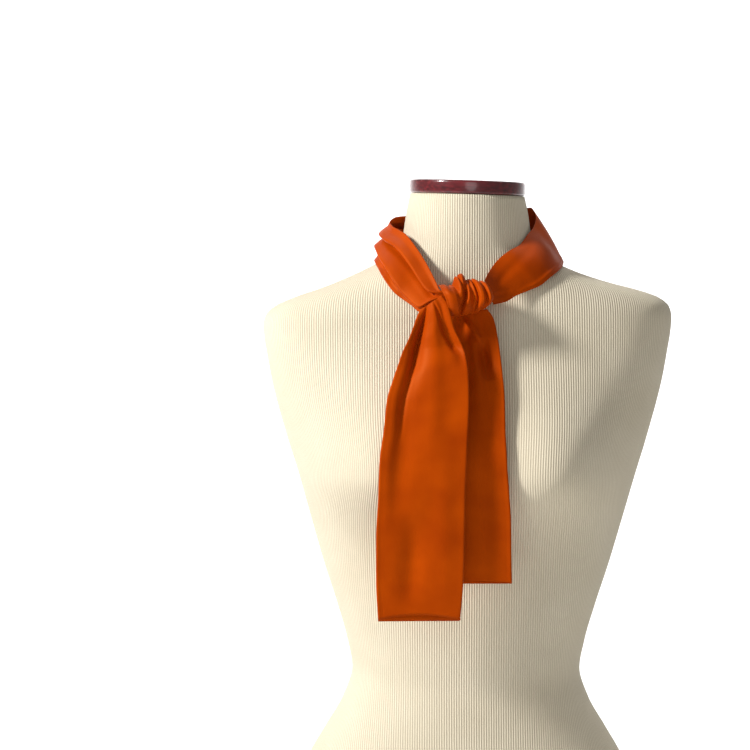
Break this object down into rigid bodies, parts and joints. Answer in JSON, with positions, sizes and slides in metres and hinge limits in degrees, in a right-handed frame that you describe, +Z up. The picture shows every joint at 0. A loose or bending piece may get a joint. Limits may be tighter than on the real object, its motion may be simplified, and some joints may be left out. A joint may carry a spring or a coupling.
{
  "type": "silk scarf on a dress form",
  "caption": "Narrow silk satin scarf folded double, wound round the neck of a limbless dress form and knotted at the throat with two tails hanging down the front.",
  "frame": {"origin": "middle of the dress form's flat base, on the surface that it stands on", "axes": "+Z up along the form, -Y the wearer's front, -X the wearer's right"},
  "size_m": [0.387, 0.2518, 0.8015],
  "materials": {
    "knit_cover": "matt cream cotton jersey with fine upright ribs",
    "cherry_wood": "dark cherry stained wood under a gloss lacquer",
    "silk_satin": "deep orange silk charmeuse with a soft satin sheen"
  },
  "bodies": {
    "root": {"dress_form": "knit_cover", "neck_cap": "cherry_wood", "scarf_neck_right_side": "silk_satin", "scarf_nape": "silk_satin", "scarf_neck_left_side": "silk_satin", "scarf_knot": "silk_satin", "scarf_front_tail": "silk_satin", "scarf_back_tail": "silk_satin"}
  },
  "joints": []
}
